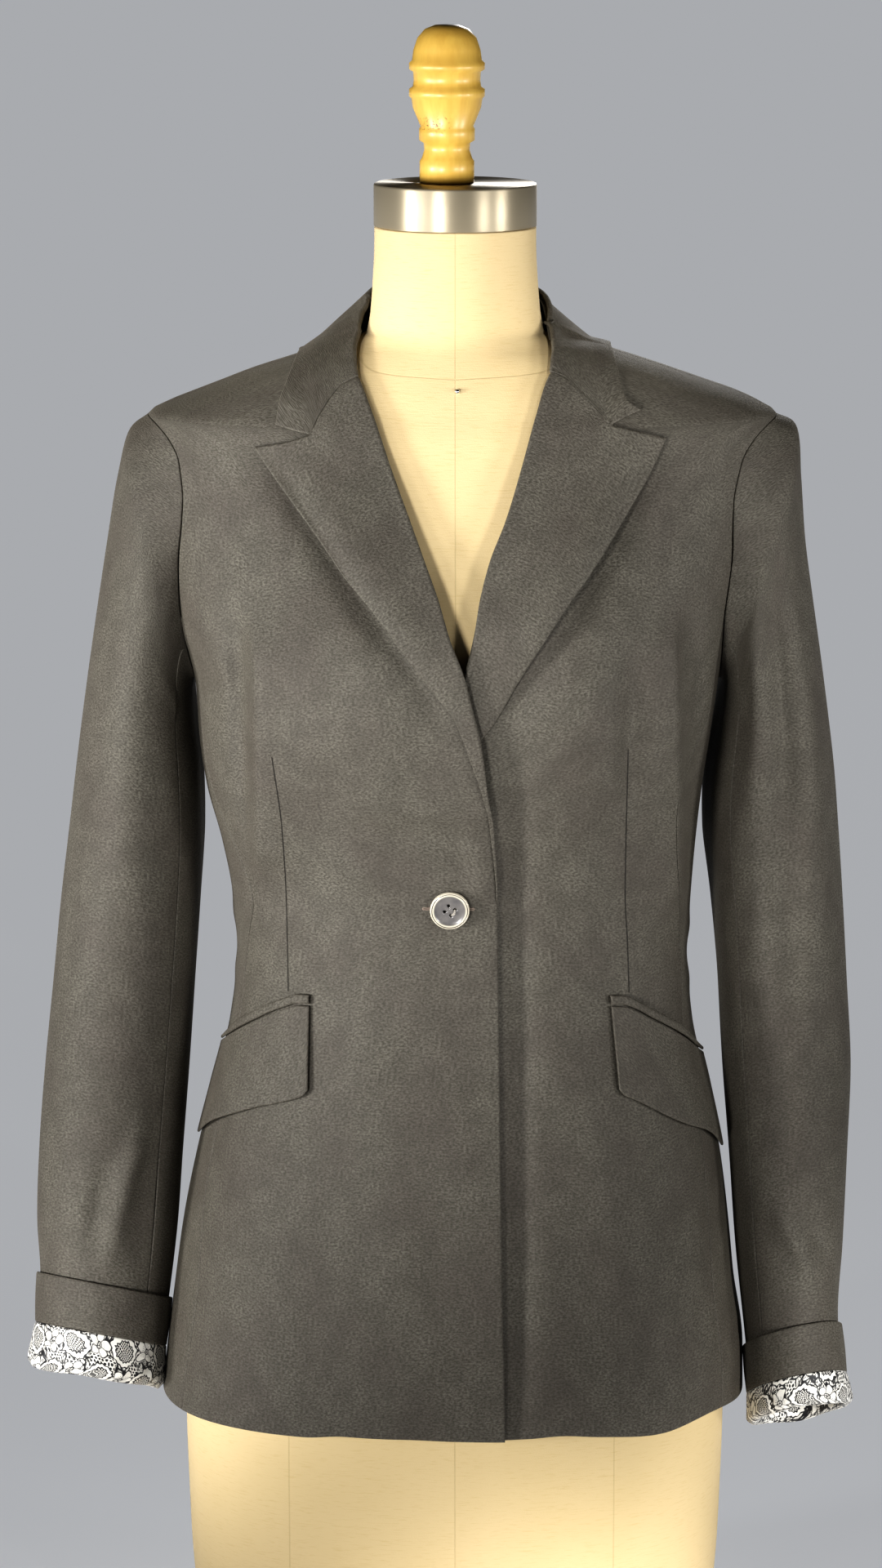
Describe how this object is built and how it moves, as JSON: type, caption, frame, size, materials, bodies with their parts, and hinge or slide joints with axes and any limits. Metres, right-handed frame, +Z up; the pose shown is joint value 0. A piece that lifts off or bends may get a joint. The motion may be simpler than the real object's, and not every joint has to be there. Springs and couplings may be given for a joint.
{
  "type": "blazer on dress form",
  "caption": "Fitted single-breasted blazer with peak lapels, flap pockets and turned-up lined cuffs, worn on a limbless dress form with a turned wooden top.",
  "frame": {"origin": "middle of the base's flat underside, on the floor", "axes": "+Z up through the form's neck, -Y out of the garment's front, +X to the wearer's left"},
  "size_m": [0.4938, 0.261, 0.982],
  "materials": {
    "suiting": "dark taupe crepe-backed satin with a soft sheen",
    "lining": "thin lining printed with white lace on black",
    "horn": "polished dark horn-like resin",
    "form_cotton": "cream plain-weave cotton stretched over the form",
    "cap_steel": "brushed round",
    "turned_wood": "turned, stained golden brown and varnished"
  },
  "bodies": {
    "root": {"front_right": "suiting", "front_left": "suiting", "side_right": "suiting", "side_left": "suiting", "back_right": "suiting", "back_left": "suiting", "lapel_right": "suiting", "lapel_left": "suiting", "collar": "suiting", "collar_stand": "suiting", "upper_sleeve_right": "suiting", "upper_sleeve_left": "suiting", "under_sleeve_right": "suiting", "under_sleeve_left": "suiting", "cuff_band_right": "suiting", "cuff_band_left": "suiting", "cuff_lining_right": "lining", "cuff_lining_left": "lining", "pocket_welt_right": "suiting", "pocket_welt_left": "suiting", "pocket_flap_right": "suiting", "pocket_flap_left": "suiting", "button": "horn", "form_body": "form_cotton", "form_cap": "cap_steel", "form_finial": "turned_wood", "form_base": "turned_wood"}
  },
  "joints": []
}
